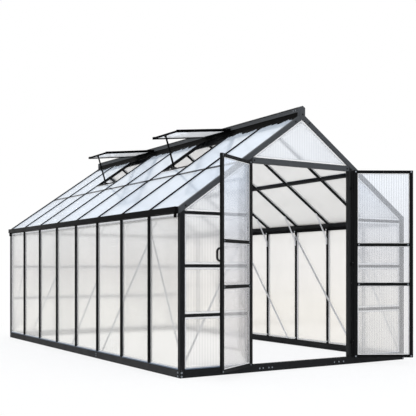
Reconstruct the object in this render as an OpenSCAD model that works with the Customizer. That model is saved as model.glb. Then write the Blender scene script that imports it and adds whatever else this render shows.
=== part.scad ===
// Walk-in greenhouse with a gable roof, a bar frame and twin-wall panels.
// Millimetres. +Z is up, +Y runs from the doorway to the back gable.
// The origin is the middle of the doorway threshold's underside.

/* [Building] */
// Outside width of the building across the gables
wid = 2440; // [2200:10:2800]
// Length of one bay along a side wall
bay = 535; // [480:5:620]
// Number of bays along a side wall
bays = 8; // [7:1:9]
// Height of the roof's lower edge at the side walls
eave_h = 1345; // [1250:5:1600]
// Rise of the roof from its lower edge to the ridge line
rise = 854; // [700:2:1000]

/* [Walls] */
// Height of the base rail
base_h = 65; // [50:1:90]
// Width of the base rail, and the depth of the end walls
base_w = 40; // [36:1:60]
// Width of a corner post seen from the end
corner_w = 45; // [38:1:60]
// Width of a side wall post seen from the side
post_w = 22; // [18:1:30]
// Depth of a side wall post
post_d = 32; // [28:1:36]
// Height of a thin rail in an end wall
rail_h = 25; // [18:1:34]
// Height of the lowest thin rail above the base rail
low_rail = 424; // [300:2:520]
// Height of the middle thin rail above the base rail
mid_rail = 816; // [700:2:900]

/* [Roof] */
// Depth of the beam along the top of a side wall
beam_h = 53; // [46:1:64]
// Width of the beam along the top of a side wall
beam_w = 38; // [36:1:50]
// Vertical depth of the sloping bar along each gable
verge_h = 51; // [46:1:64]
// Vertical depth of a rafter
rafter_h = 34; // [28:1:42]
// Width of a rafter
rafter_w = 20; // [16:1:28]
// Distance of the bars between the rafters from the ridge line
purlin_x = 650; // [580:2:720]
// Width of the bars between the rafters
purlin_w = 20; // [14:1:28]
// Half the width of the ridge cap
cap_r = 28; // [24:1:36]
// Height of the ridge cap's sides
cap_h = 38; // [30:1:46]
// Depth of the ridge bar under its cap
web_h = 92; // [80:1:104]

/* [Gutters] */
// Width of a gutter
gut_w = 32; // [26:1:44]
// Thickness of a gutter's walls
gut_t = 4; // [3:0.5:6]
// Radius of a gutter spout
spout_r = 12; // [9:1:14]
// Length of a gutter spout
spout_h = 38; // [24:1:60]

/* [Panels] */
// Thickness of a twin-wall panel
panel_t = 6; // [4:1:10]

/* [Braces] */
// Height of a flat wall brace
brace_h = 20; // [14:1:26]
// Thickness of a flat brace
brace_t = 3; // [2:0.5:5]
// Reach of a knee brace from its post
knee_l = 150; // [120:2:200]
// Drop of a knee brace below the eave beam
knee_drop = 132; // [100:2:200]

/* [Doorway] */
// Clear width of the doorway
door_w = 1056; // [960:4:1200]
// Width of a door post
jamb_w = 50; // [44:1:60]
// Height of the bar over the doorway
head_h = 47; // [30:1:60]
// Thickness of a door leaf
leaf_t = 22; // [18:1:24]
// Width of a door leaf's side bars
stile_w = 34; // [26:1:44]
// Height of a door leaf's top and bottom bars
leaf_rail = 27; // [20:1:40]
// Height of a door leaf's two middle bars
leaf_mid = 22; // [16:1:30]
// Height of the lower middle bar above the leaf's underside
low_bar = 660; // [560:2:720]
// Height of the upper middle bar above the leaf's underside
high_bar = 1015; // [960:2:1100]
// Height of the handle's middle above the leaf's underside
grip_z = 909; // [860:1:960]
// Length of a handle
grip_h = 106; // [80:1:140]
// Radius of a handle's bar
grip_r = 5; // [4:0.5:7]
// How far a handle stands out from the leaf
grip_out = 36; // [28:1:48]
// How far each leaf stands open, from closed
leaf_open = 150; // [0:0.5:160]

/* [Roof vents] */
// Length of a vent from the ridge to its free edge
vent_l = 600; // [450:10:640]
// Fall of the open vent from the ridge to its free edge
vent_fall = 6.5; // [4:0.5:12]
// Thickness of a vent's frame
vent_t = 16; // [14:1:20]
// Width of a vent's frame bars
vent_bar = 16; // [12:1:24]
// Width of a vent's stay
stay_w = 8; // [6:1:12]

/* [Hidden] */
$fn = 48;

// Clearances and seats.
side_in = 2;
wall_seat = 9;
roof_seat = 8;
rafter_gap = 2;
purlin_gap = 0.3;
panel_lap = 10;
rail_in = 5;
rail_gap = 12;
head_lap = 3.6;
gut_drop = 6;
stop_t = 6;
stop_gap = 2;
spout_in = 16;
cap_seat = 13;
cap_peak = 16;
vent_seat = 18;
vent_gap = 12;
vent_panel_seat = 5;
leaf_gap = 6;
leaf_lap = 7;
leaf_in = 14;
meet_gap = 3;
pin_gap = 0.05;
knuckle_gap = 1;
low_knuckle = 142;
top_knuckle = 162;

// Small sizes.
web_r = 14;
purlin_h = 20;
sill_w = 20;
stay_h = 10;
stay_in = 3;
pin_r = 4;
pin_out = 20;
knuckle_r = 8;
knuckle_h = 30;
bracket_w = 12;
flange_t = 6;
barrel_in = 6;
mid_in = 2;
knee_w = 14;
knee_h = 18;
knee_top = 10;

// Falls and runs of the wall braces.
brace_low = 83;
back_low = 49;
brace_drop = 162;
back_drop = 250;
mid_drop = 498;
long_drop = 458;
right_drop = 77;
end_low = 15;
end_drop = 115;
brace_gap = 2;
first_run = 1008;
mid_run = 696;
long_run = 910;
right_run = 931;

// Derived sizes and places.
hw = wid / 2;
len = bays * bay;
slope = rise / hw;
pitch_k = sqrt(1 + slope * slope);
panel_v = panel_t * pitch_k;
raf_low = rafter_gap + rafter_h;
purlin_seat = roof_seat + panel_v + purlin_gap;
eave_low = eave_h - beam_h;
beam_out = hw - side_in;
beam_in = beam_out - beam_w;
post_in = beam_out - post_d;
side_p = beam_out - wall_seat;
jin = door_w / 2;
jout = jin + jamb_w;
cin = hw - corner_w;
rail_top = roof(cin) - verge_h - rail_gap - rail_h / 2;
rail_z = [base_h + low_rail, base_h + mid_rail, rail_top];
head_z = roof(jin) - verge_h + head_lap - head_h;
rail_d = base_w - 2 * rail_in;
end_p = base_w / 2 - panel_t / 2;
cap_low = roof(0) + cap_seat;
cap_side = cap_low + cap_h;
cap_top = cap_side + cap_peak;
web_low = cap_low - web_h;
vent_bays = [3, bays - 2];
vent_y = bay - rafter_w - 2 * vent_gap;
vent_top = cap_low + vent_seat;
vent_v = vent_t / cos(vent_fall);
vent_x = cap_r + vent_l * cos(vent_fall);
sill_x = cap_r + vent_l * cos(atan(slope));
hinge_x = jin + jamb_w / 2;
hinge_y = -leaf_gap - leaf_t / 2;
bore_r = pin_r + pin_gap;
leaf_low = base_h - leaf_lap;
leaf_top = head_z + leaf_lap;
leaf_h = leaf_top - leaf_low;
knuckle_z = [leaf_low + low_knuckle, leaf_low + leaf_h / 2, leaf_top - top_knuckle];
leaf_out = hinge_x - meet_gap;
leaf_mid_z = [leaf_low + low_bar, leaf_low + high_bar];
grip_mid = leaf_low + grip_z;

// Sub-part to draw

// Height of the roof's outer line at a distance from the ridge line.
function roof(x) = eave_h + rise * (1 - x / hw);

// Stands the building so that the threshold's middle is over the origin.
module site() {
  translate([0, -base_w / 2, 0])
    children();
}

// A flat outline in X and Z, given thickness along Y from y.
module slab_xz(y, t, outline) {
  translate([0, y + t, 0])
    rotate([90, 0, 0])
      linear_extrude(t)
        polygon(outline);
}

// A flat outline in Y and Z, given thickness along X from x.
module slab_yz(x, t, outline) {
  translate([x, 0, 0])
    rotate([90, 0, 90])
      linear_extrude(t)
        polygon(outline);
}

// A box from its low corner to its high corner.
module block(low, high) {
  translate(low)
    cube(high - low);
}

// One shape on the left and its mirror on the right.
module both_sides() {
  children();
  mirror([1, 0, 0])
    children();
}

// One shape at the front gable and its mirror at the back gable.
module both_ends() {
  children();
  translate([0, len, 0])
    mirror([0, 1, 0])
      children();
}

module side_base_rails() {
  color("#2e2f31")
    site()
      both_sides()
        block([-hw, 0, 0], [-hw + base_w, len, base_h]);
}

module end_base_rails() {
  color("#2e2f31")
    site()
      both_ends()
        block([-hw + base_w, 0, 0], [hw - base_w, base_w, base_h]);
}

module corner_posts() {
  low = roof(hw) - verge_h;
  high = roof(cin) - verge_h;
  color("#333437")
    site()
      both_ends()
        both_sides()
          slab_xz(0, base_w, [[-hw, base_h], [-cin, base_h], [-cin, high], [-hw, low]]);
}

module side_wall_posts() {
  color("#333437")
    site()
      both_sides()
        for (k = [1 : bays - 1])
          block([-beam_out, k * bay - post_w / 2, base_h],
                [-post_in, k * bay + post_w / 2, eave_low]);
}

// Upright between base rail and verge, inside a gable wall.
module gable_post(x_in, x_out) {
  slab_xz(0, base_w, [[-x_out, base_h], [-x_in, base_h],
    [-x_in, roof(x_in) - verge_h], [-x_out, roof(x_out) - verge_h]]);
}

module door_jambs() {
  color("#333437")
    site()
      both_sides()
        gable_post(jin, jout);
}

module door_header() {
  under = roof(0) - verge_h;
  x_top = (under - head_z - head_h) / slope;
  color("#3c3d40")
    site()
      slab_xz(0, base_w, [[-jin, head_z], [jin, head_z], [jin, roof(jin) - verge_h],
        [x_top, head_z + head_h], [-x_top, head_z + head_h],
        [-jin, roof(jin) - verge_h]]);
}

module front_side_rails() {
  color("#333437")
    site()
      both_sides()
        for (z = rail_z)
          side_rail(z);
}

// Thin rail between a corner post and the next upright.
module side_rail(z) {
  block([-cin, rail_in, z - rail_h / 2], [-jout, rail_in + rail_d, z + rail_h / 2]);
}

module back_wall_posts() {
  color("#333437")
    site()
      translate([0, len, 0])
        mirror([0, 1, 0])
          both_sides()
            gable_post(jin, jout);
}

module back_wall_rails() {
  color("#333437")
    site()
      translate([0, len, 0])
        mirror([0, 1, 0])
          for (z = rail_z) {
            both_sides()
              side_rail(z);
            block([-jin, rail_in, z - rail_h / 2], [jin, rail_in + rail_d, z + rail_h / 2]);
          }
}

module eave_beams() {
  color("#2b2c2e")
    site()
      both_sides()
        slab_xz(base_w, len - 2 * base_w, [[-beam_out, eave_low], [-beam_in, eave_low],
          [-beam_in, roof(beam_in) - raf_low], [-beam_out, roof(beam_out) - raf_low]]);
}

module gutters() {
  in_top = roof(beam_out) - roof_seat - panel_v;
  out_top = roof(beam_out + gut_t) - roof_seat - panel_v;
  floor_z = eave_low + gut_drop;
  x0 = beam_out + gut_w;
  x1 = beam_out + gut_t;
  color("#2b2c2e")
    site()
      both_sides()
        slab_xz(base_w, len - 2 * base_w, [[-x0, floor_z], [-beam_out, floor_z],
          [-beam_out, in_top], [-x1, out_top], [-x1, floor_z + gut_t],
          [-x0 + gut_t, floor_z + gut_t], [-x0 + gut_t, eave_h], [-x0, eave_h]]);
}

module gutter_stops_and_spouts() {
  mid = beam_out + gut_w / 2;
  low = eave_low + gut_drop;
  high = roof(beam_out + panel_lap) - roof_seat - panel_v - stop_gap;
  color("#2b2c2e")
    site()
      both_ends()
        both_sides() {
          block([-beam_out - gut_w + gut_t, base_w, low + gut_t],
                [-beam_out - gut_t, base_w + stop_t, high]);
          translate([-mid, base_w + spout_in, low - spout_h])
            cylinder(h = spout_h, r = spout_r);
        }
}

// The two sloping bars of one gable.
module verge_bars() {
  both_sides()
    slab_xz(0, base_w, [[-hw, roof(hw) - verge_h], [-cap_r, roof(cap_r) - verge_h],
      [-cap_r, roof(cap_r)], [-hw, roof(hw)]]);
}

module front_verge_bars() {
  color("#45474a")
    site()
      verge_bars();
}

module back_verge_bars() {
  color("#45474a")
    site()
      translate([0, len - base_w, 0])
        verge_bars();
}

module ridge_end_caps() {
  low = roof(cap_r) - verge_h;
  color("#45474a")
    site()
      both_ends()
        slab_xz(0, base_w, [[-cap_r, low], [0, roof(0) - verge_h], [cap_r, low],
          [cap_r, cap_side], [0, cap_top], [-cap_r, cap_side]]);
}

module ridge_beam() {
  color("#3c3d40")
    site()
      block([-web_r, base_w, web_low], [web_r, len - base_w, cap_low]);
}

module ridge_cap() {
  color("#3c3d40")
    site()
      slab_xz(base_w, len - 2 * base_w, [[-cap_r, cap_low], [cap_r, cap_low],
        [cap_r, cap_side], [0, cap_top], [-cap_r, cap_side]]);
}

// A bar that lies along the left slope, between two distances from the ridge.
module slope_bar(y, t, x_low, x_high, top, depth) {
  slab_xz(y, t, [[-x_low, roof(x_low) - top - depth], [-x_high, roof(x_high) - top - depth],
    [-x_high, roof(x_high) - top], [-x_low, roof(x_low) - top]]);
}

// Where the gap between two rafters starts, counted from the front gable.
function gap_low(k) = (k - 1) * bay + (k == 1 ? base_w : rafter_w / 2);

// Where the gap between two rafters ends.
function gap_high(k) = k * bay - (k == bays ? base_w : rafter_w / 2);

module rafters() {
  for (k = [1 : bays - 1])
    slope_bar(k * bay - rafter_w / 2, rafter_w, beam_out, web_r, rafter_gap, rafter_h);
}

module left_rafters() {
  color("#2e2f31")
    site()
      rafters();
}

module right_rafters() {
  color("#2e2f31")
    site()
      mirror([1, 0, 0])
        rafters();
}

module roof_purlins() {
  half = purlin_w / 2;
  color("#2e2f31")
    site()
      both_sides()
        for (k = [1 : bays])
          slope_bar(gap_low(k), gap_high(k) - gap_low(k), purlin_x + half,
                    purlin_x - half, purlin_seat, purlin_h);
}

module vent_sills() {
  half = sill_w / 2;
  color("#2e2f31")
    site()
      for (b = vent_bays)
        slope_bar((b - 1) * bay + rafter_w / 2, bay - rafter_w, sill_x + half,
                  sill_x - half, rafter_gap, rafter_h);
}

// Height of an open vent's top face at a distance from the ridge line.
function vent_z(x) = vent_top - tan(vent_fall) * (x - cap_r);

// A bar of an open vent, between two distances from the ridge.
module vent_piece(y, t, x_low, x_high, top, depth) {
  slab_xz(y, t, [[-x_low, vent_z(x_low) - top - depth],
    [-x_high, vent_z(x_high) - top - depth],
    [-x_high, vent_z(x_high) - top], [-x_low, vent_z(x_low) - top]]);
}

module vent_side_bars() {
  color("#2e2f31")
    site()
      for (b = vent_bays)
        for (s = [-1, 1])
          vent_piece((b - 0.5) * bay + s * (vent_y - vent_bar) / 2 - vent_bar / 2,
                     vent_bar, vent_x, cap_r, 0, vent_v);
}

module vent_cross_bars() {
  wide = vent_y - 2 * vent_bar;
  color("#2e2f31")
    site()
      for (b = vent_bays)
        translate([0, (b - 0.5) * bay - wide / 2, 0]) {
          vent_piece(0, wide, cap_r + vent_bar, cap_r, 0, vent_v);
          vent_piece(0, wide, vent_x, vent_x - vent_bar, 0, vent_v);
        }
}

module vent_panels() {
  wide = vent_y - 2 * vent_bar;
  color("#dce4ec", 0.6)
    site()
      for (b = vent_bays)
        vent_piece((b - 0.5) * bay - wide / 2, wide, vent_x - vent_bar,
                   cap_r + vent_bar, vent_panel_seat, panel_t);
}

module vent_stays() {
  a = vent_x - stay_in;
  b = a - stay_h;
  c = sill_x + stay_h / 2;
  d = sill_x - stay_h / 2;
  color("#2b2c2e")
    site()
      for (v = vent_bays)
        slab_xz((v - 0.5) * bay - stay_w / 2, stay_w, [[-a, vent_z(a) - vent_v],
          [-c, roof(c) - rafter_gap], [-d, roof(d) - rafter_gap],
          [-b, vent_z(b) - vent_v]]);
}

// All the panels of one side wall, drawn on the left.
module wall_panels() {
  for (k = [1 : bays])
    block([-side_p, (k - 1) * bay + (k == 1 ? base_w : post_w / 2), base_h],
          [-side_p + panel_t, k * bay - (k == bays ? base_w : post_w / 2), eave_low]);
}

module left_wall_panels() {
  color("#e4e4e3", 0.6)
    site()
      wall_panels();
}

module right_wall_panels() {
  color("#e4e4e3", 0.6)
    site()
      mirror([1, 0, 0])
        wall_panels();
}

// Panels between two uprights, from the base rail to the top rail.
module rail_panels(x_out, x_in) {
  lows = [base_h, rail_z[0] + rail_h / 2, rail_z[1] + rail_h / 2];
  for (i = [0 : 2])
    block([-x_out, end_p, lows[i]], [-x_in, end_p + panel_t, rail_z[i] - rail_h / 2]);
}

// Panels of the bay between a corner post and the next upright.
module side_bay_panels() {
  low = rail_top + rail_h / 2;
  rail_panels(cin, jout);
  slab_xz(end_p, panel_t, [[-cin, low], [-jout, low], [-jout, roof(jout) - verge_h],
    [-cin, roof(cin) - verge_h]]);
}

module front_wall_panels() {
  low = head_z + head_h;
  x_top = (roof(0) - verge_h - low) / slope;
  color("#e4e4e3", 0.6)
    site() {
      both_sides()
        side_bay_panels();
      slab_xz(end_p, panel_t, [[-x_top, low], [x_top, low], [0, roof(0) - verge_h]]);
    }
}

module back_wall_panels() {
  low = rail_top + rail_h / 2;
  color("#e4e4e3", 0.6)
    site()
      translate([0, len, 0])
        mirror([0, 1, 0]) {
          both_sides()
            side_bay_panels();
          rail_panels(jin, -jin);
          slab_xz(end_p, panel_t, [[-jin, low], [jin, low], [jin, roof(jin) - verge_h],
            [0, roof(0) - verge_h], [-jin, roof(jin) - verge_h]]);
        }
}

// The panel of one roof bay, up to a given distance from the ridge line.
module roof_panel(k, x_high) {
  slope_bar(gap_low(k), gap_high(k) - gap_low(k), beam_out + panel_lap, x_high,
            roof_seat, panel_v);
}

module left_roof_panels() {
  color("#dce4ec", 0.6)
    site()
      for (k = [1 : bays])
        roof_panel(k, len(search(k, vent_bays)) > 0 ? sill_x + sill_w / 2 : web_r);
}

module right_roof_panels() {
  color("#dce4ec", 0.6)
    site()
      mirror([1, 0, 0])
        for (k = [1 : bays])
          roof_panel(k, web_r);
}

// A flat brace on the inner faces of the left wall's posts.
module wall_brace(y1, z1, y2, z2) {
  slab_yz(-post_in, brace_t, [[y1, z1], [y2, z2], [y2, z2 + brace_h], [y1, z1 + brace_h]]);
}

// The braces of the first and the last bay of a side wall.
module end_bay_braces() {
  wall_brace(bay - brace_gap, eave_low - brace_drop, base_w, base_h + brace_low);
  wall_brace((bays - 1) * bay + brace_gap, eave_low - back_drop, len - base_w,
             base_h + back_low);
}

// A long brace from a height below the eave beam down to the base rail.
module long_brace(y, drop, run) {
  wall_brace(y, eave_low - drop, y + run, base_h);
}

module left_wall_braces() {
  color("#b9bcc0")
    site() {
      end_bay_braces();
      long_brace(bay + brace_gap, brace_drop, first_run);
      long_brace(bay * 3, mid_drop, mid_run);
      long_brace(bay * (bays - 3), long_drop, long_run);
    }
}

module right_wall_braces() {
  color("#b9bcc0")
    site()
      mirror([1, 0, 0]) {
        end_bay_braces();
        for (k = [3 : 2 : bays - 1])
          long_brace(bay * k, right_drop, -right_run);
      }
}

module knee_braces() {
  low = eave_low - knee_drop;
  a = post_in - knee_l;
  b = a + knee_top;
  color("#b9bcc0")
    site()
      both_sides()
        for (k = [1 : bays - 1])
          slab_xz(k * bay - knee_w / 2, knee_w, [[-post_in, low], [-a, roof(a) - raf_low],
            [-b, roof(b) - raf_low], [-post_in, low + knee_h]]);
}

module end_wall_braces() {
  low = base_h + end_low;
  high = eave_low - end_drop;
  color("#b9bcc0")
    site()
      both_ends()
        both_sides()
          slab_xz(rail_in + rail_d, brace_t, [[-cin, low], [-jout, high],
            [-jout, high + brace_h], [-cin, low + brace_h]]);
}

module hinge_brackets() {
  color("#2b2c2e")
    site()
      both_sides()
        for (z = knuckle_z)
          translate([-hinge_x, 0, z]) {
            block([-bracket_w / 2, hinge_y, -knuckle_h / 2],
                  [bracket_w / 2, 0, knuckle_h / 2]);
            translate([0, hinge_y, -knuckle_h / 2])
              cylinder(h = knuckle_h, r = knuckle_r);
            translate([0, hinge_y, -knuckle_h / 2 - pin_out])
              cylinder(h = knuckle_h + 2 * pin_out, r = pin_r);
          }
}

// Puts a left leaf, drawn closed with its hinge line at the origin, in place.
module leaf_place() {
  site()
    translate([-hinge_x, hinge_y, 0])
      rotate([0, 0, -leaf_open])
        children();
}

// A piece of the leaf across its whole thickness.
module leaf_block(x1, x2, z1, z2, t) {
  block([x1, -t / 2, z1], [x2, t / 2, z2]);
}

module leaf_stiles() {
  gap = knuckle_h / 2 + knuckle_gap;
  difference() {
    union() {
      leaf_block(leaf_in, leaf_in + stile_w, leaf_low, leaf_top, leaf_t);
      leaf_block(0, leaf_in, leaf_low + barrel_in, leaf_top - barrel_in, flange_t);
      translate([0, 0, leaf_low + barrel_in])
        cylinder(h = leaf_h - 2 * barrel_in, r = knuckle_r);
    }
    translate([0, 0, leaf_low])
      cylinder(h = leaf_h, r = bore_r);
    for (z = knuckle_z)
      block([-leaf_in, -leaf_in, z - gap], [leaf_in, leaf_in, z + gap]);
  }
  leaf_block(leaf_out - stile_w, leaf_out, leaf_low, leaf_top, leaf_t);
}

module leaf_rails() {
  x1 = leaf_in + stile_w;
  x2 = leaf_out - stile_w;
  leaf_block(x1, x2, leaf_low, leaf_low + leaf_rail, leaf_t);
  leaf_block(x1, x2, leaf_top - leaf_rail, leaf_top, leaf_t);
  for (z = leaf_mid_z)
    leaf_block(x1, x2, z - leaf_mid / 2, z + leaf_mid / 2, leaf_t - 2 * mid_in);
}

module leaf_panels() {
  x1 = leaf_in + stile_w;
  x2 = leaf_out - stile_w;
  half = leaf_mid / 2;
  leaf_block(x1, x2, leaf_low + leaf_rail, leaf_mid_z[0] - half, panel_t);
  leaf_block(x1, x2, leaf_mid_z[0] + half, leaf_mid_z[1] - half, panel_t);
  leaf_block(x1, x2, leaf_mid_z[1] + half, leaf_top - leaf_rail, panel_t);
}

module leaf_handle() {
  y = -leaf_t / 2;
  translate([leaf_out - stile_w / 2, y, grip_mid - grip_h / 2 + grip_r]) {
    for (z = [0, grip_h - 2 * grip_r])
      translate([0, 0, z]) {
        rotate([90, 0, 0])
          cylinder(h = grip_out - grip_r, r = grip_r);
        translate([0, -grip_out + grip_r, 0])
          sphere(r = grip_r);
      }
    translate([0, -grip_out + grip_r, 0])
      cylinder(h = grip_h - 2 * grip_r, r = grip_r);
  }
}

module left_leaf_stiles() {
  color("#2b2c2e")
    leaf_place()
      leaf_stiles();
}

module left_leaf_rails() {
  color("#2b2c2e")
    leaf_place()
      leaf_rails();
}

module left_leaf_panels() {
  color("#e4e4e3", 0.6)
    leaf_place()
      leaf_panels();
}

module left_leaf_handle() {
  color("#1e1e1f")
    leaf_place()
      leaf_handle();
}

module right_leaf_stiles() {
  mirror([1, 0, 0])
    left_leaf_stiles();
}

module right_leaf_rails() {
  mirror([1, 0, 0])
    left_leaf_rails();
}

module right_leaf_panels() {
  mirror([1, 0, 0])
    left_leaf_panels();
}

module right_leaf_handle() {
  mirror([1, 0, 0])
    left_leaf_handle();
}

side_base_rails();
end_base_rails();
corner_posts();
side_wall_posts();
door_jambs();
door_header();
front_side_rails();
back_wall_posts();
back_wall_rails();
eave_beams();
gutters();
gutter_stops_and_spouts();
front_verge_bars();
back_verge_bars();
ridge_end_caps();
ridge_beam();
ridge_cap();
left_rafters();
right_rafters();
roof_purlins();
vent_sills();
vent_side_bars();
vent_cross_bars();
vent_panels();
vent_stays();
left_wall_panels();
right_wall_panels();
front_wall_panels();
back_wall_panels();
left_roof_panels();
right_roof_panels();
left_wall_braces();
right_wall_braces();
knee_braces();
end_wall_braces();
hinge_brackets();
left_leaf_stiles();
left_leaf_rails();
left_leaf_panels();
left_leaf_handle();
right_leaf_stiles();
right_leaf_rails();
right_leaf_panels();
right_leaf_handle();
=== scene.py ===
"""Walk-in greenhouse of black powder-coated bars and twin-wall polycarbonate sheets.

Every bar starts as a copy of its construction solid and is then shaped as the pressed and
rounded section that it really is. Sheets keep their solids and get a ribbed, milky finish.
"""

import logging
import math
import random
from collections.abc import Callable, Iterator, Sequence
from contextlib import contextmanager
from dataclasses import dataclass, field
from enum import Enum
from functools import partial
from typing import Any

import bmesh
import bpy
from mathutils import Matrix, Vector


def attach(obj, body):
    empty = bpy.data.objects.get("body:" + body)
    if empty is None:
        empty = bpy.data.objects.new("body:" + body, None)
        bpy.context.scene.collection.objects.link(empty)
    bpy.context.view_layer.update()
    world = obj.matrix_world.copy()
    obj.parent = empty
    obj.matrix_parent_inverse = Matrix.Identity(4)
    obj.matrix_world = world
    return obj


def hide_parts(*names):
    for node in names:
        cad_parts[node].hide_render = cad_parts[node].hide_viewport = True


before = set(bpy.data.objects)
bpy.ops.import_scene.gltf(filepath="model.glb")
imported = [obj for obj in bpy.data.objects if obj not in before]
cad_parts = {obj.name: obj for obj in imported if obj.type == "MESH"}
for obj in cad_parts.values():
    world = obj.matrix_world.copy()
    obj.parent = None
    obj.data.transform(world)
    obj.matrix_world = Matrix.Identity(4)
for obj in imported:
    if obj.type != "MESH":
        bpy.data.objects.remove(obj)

LOG = logging.getLogger("greenhouse")
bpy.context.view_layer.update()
Piece = bpy.types.Object
Node = bpy.types.Node
Point = tuple[float, float, float]
Spot = tuple[Point, Point]
Face = bmesh.types.BMFace
FaceTest = Callable[[Face], bool]
Adder = Callable[..., Node]

# Sizes that the construction fixes, in metres.
HALF_WIDTH = 1.22
FRONT, BACK, LENGTH = -0.02, 4.26, 4.28
MIDDLE_Y = FRONT + LENGTH / 2
BAY, BAYS = 0.535, 8
POST_LINES = tuple(FRONT + BAY * number for number in range(BAYS + 1))
EAVE, RISE = 1.345, 0.854
PITCH = math.atan(RISE / HALF_WIDTH)
HINGE_X, HINGE_Y = 0.553, -0.037
LEAF_TURN = math.radians(150)
MID_BARS = (0.718, 1.073)

SIDES = (-1, 1)
POSTS = tuple((side, y) for side in SIDES for y in POST_LINES[1:-1])
X, Y, Z = range(3)
OUT, IN, TO_FRONT, TO_BACK = (1, 0, 0), (-1, 0, 0), (0, -1, 0), (0, 1, 0)
ENDS = ((FRONT, TO_FRONT), (BACK, TO_BACK))
QUARTER = math.pi / 2
STRAIGHT = 0.9  # A face looks along an axis if its normal reaches this far along it.
SLOPING = 0.6  # The same for a face on the roof.
SAME_POINT = 1e-5
SHARP_EDGE, SMOOTH_EDGE = 25, 35  # Degrees: rounded from the first, shaded smooth to the second.


def roof_height(x: float) -> float:
    """Height of the roof's outer line over a distance from the middle."""
    return EAVE + RISE * (1 - abs(x) / HALF_WIDTH)


# ---------------------------------------------------------------- working by hand


def put_down() -> None:
    """Leave Object mode with nothing selected."""
    if bpy.context.object is not None and bpy.context.object.mode != "OBJECT":
        bpy.ops.object.mode_set(mode="OBJECT")
    bpy.ops.object.select_all(action="DESELECT")


def take_up(*pieces: Piece) -> None:
    """Select these pieces alone, the first one active.

    Args:
        *pieces: The pieces.
    """
    put_down()
    for piece in pieces:
        piece.select_set(True)
    bpy.context.view_layer.objects.active = pieces[0]


def stand(name: str, data: bpy.types.ID) -> Piece:
    """Stand a new object in the scene.

    Args:
        name: Name of the object.
        data: Its mesh, lamp or camera.

    Returns:
        The object.
    """
    made = bpy.data.objects.new(name, data)
    bpy.context.scene.collection.objects.link(made)
    return made


def pick_all() -> None:
    """Select the whole of the piece that is open in edit mode."""
    bpy.ops.mesh.select_all(action="SELECT")


@contextmanager
def editing(piece: Piece) -> Iterator[None]:
    """Open one piece in edit mode, in face selection, with nothing selected.

    Args:
        piece: The piece.

    Yields:
        Nothing; edit mode is left at the end.
    """
    take_up(piece)
    bpy.ops.object.mode_set(mode="EDIT")
    bpy.ops.mesh.select_mode(type="FACE")
    bpy.ops.mesh.select_all(action="DESELECT")
    yield
    bpy.ops.object.mode_set(mode="OBJECT")


def looks(axis: int, way: float = 1, limit: float = STRAIGHT) -> FaceTest:
    """Make a test of whether a face looks along an axis, up it or down it."""
    return lambda face: face.normal[axis] * way > limit


def looks_along(face: Face) -> bool:
    """Tell whether a face looks along Y, either way."""
    return abs(face.normal.y) > STRAIGHT


def pick(piece: Piece, wanted: FaceTest) -> int:
    """Select the faces that pass a test, and only those.

    Args:
        piece: The piece, open in edit mode.
        wanted: Test of one face.

    Returns:
        How many faces are selected.
    """
    bpy.ops.mesh.select_all(action="DESELECT")
    found = [face for face in bmesh.from_edit_mesh(piece.data).faces if wanted(face)]
    for face in found:
        face.select_set(True)
    bmesh.update_edit_mesh(piece.data)
    return len(found)


def extrude(x: float, y: float, z: float) -> None:
    """Extrude the selected faces along a straight line."""
    bpy.ops.mesh.extrude_region_move(TRANSFORM_OT_translate={"value": (x, y, z)})


def dish(
    piece: Piece, wanted: FaceTest, *steps: tuple[float, float], each: bool = False,
    lift: float = 0.0,
) -> Piece:
    """Inset the faces that pass a test, one step after another.

    Args:
        piece: The piece.
        wanted: Test of one face.
        *steps: Rim and depth of each inset, in metres; a depth below 0 goes in.
        each: Whether every face gets a rim of its own.
        lift: How far the inner face is then extruded upwards.

    Returns:
        The same piece.
    """
    with editing(piece):
        if pick(piece, wanted):
            for rim, depth in steps:
                bpy.ops.mesh.inset(thickness=rim, depth=depth, use_individual=each)
            if lift:
                extrude(0, 0, lift)
    return piece


def solid_of(node: str, ending: str = "_shaped") -> Piece:
    """Copy a construction solid as a clean mesh of flat faces.

    Args:
        node: Name of the CAD node.
        ending: What the new piece's name adds to the node's.

    Returns:
        The copy, with its own mesh and no material.
    """
    piece = stand(node + ending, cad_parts[node].data.copy())
    piece.data.materials.clear()
    with editing(piece):
        bpy.ops.mesh.customdata_custom_splitnormals_clear()
        pick_all()
        bpy.ops.mesh.remove_doubles(threshold=SAME_POINT)
        bpy.ops.mesh.dissolve_limited(angle_limit=math.radians(0.5))
    return piece


def new_piece(name: str = "part") -> Piece:
    """Name the primitive that was just added and bake its place into its mesh.

    Args:
        name: Its new name.

    Returns:
        The piece.
    """
    piece = bpy.context.object
    piece.name = name
    take_up(piece)
    bpy.ops.object.transform_apply(location=True, rotation=True, scale=True)
    return piece


def block(at: Point, size: Point, turn: Point = (0, 0, 0)) -> Piece:
    """Add a cuboid, ready to be shaped."""
    bpy.ops.mesh.primitive_cube_add(size=1, location=at, rotation=turn, scale=size)
    return new_piece()


def rod(at: Point, radius: float, length: float, sides: int, turn: Point = (0, 0, 0)) -> Piece:
    """Add a cylinder along Z, or turned from there, ready to be shaped."""
    bpy.ops.mesh.primitive_cylinder_add(
        vertices=sides, radius=radius, depth=length, location=at, rotation=turn)
    return new_piece()


def smooth(piece: Piece, degrees: float) -> Piece:
    """Shade a piece smooth.

    Args:
        piece: The piece.
        degrees: Edges up to this angle are smoothed over.

    Returns:
        The same piece.
    """
    take_up(piece)
    bpy.ops.object.shade_smooth_by_angle(angle=math.radians(degrees))
    return piece


def finish_with(piece: Piece, kind: str, **settings: Any) -> None:
    """Give a piece a modifier and apply it.

    Args:
        piece: The piece.
        kind: Type of the modifier.
        **settings: Properties of the modifier.
    """
    take_up(piece)
    modifier = piece.modifiers.new(kind, kind)
    for key, value in settings.items():
        setattr(modifier, key, value)
    bpy.ops.object.modifier_apply(modifier=modifier.name)


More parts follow.
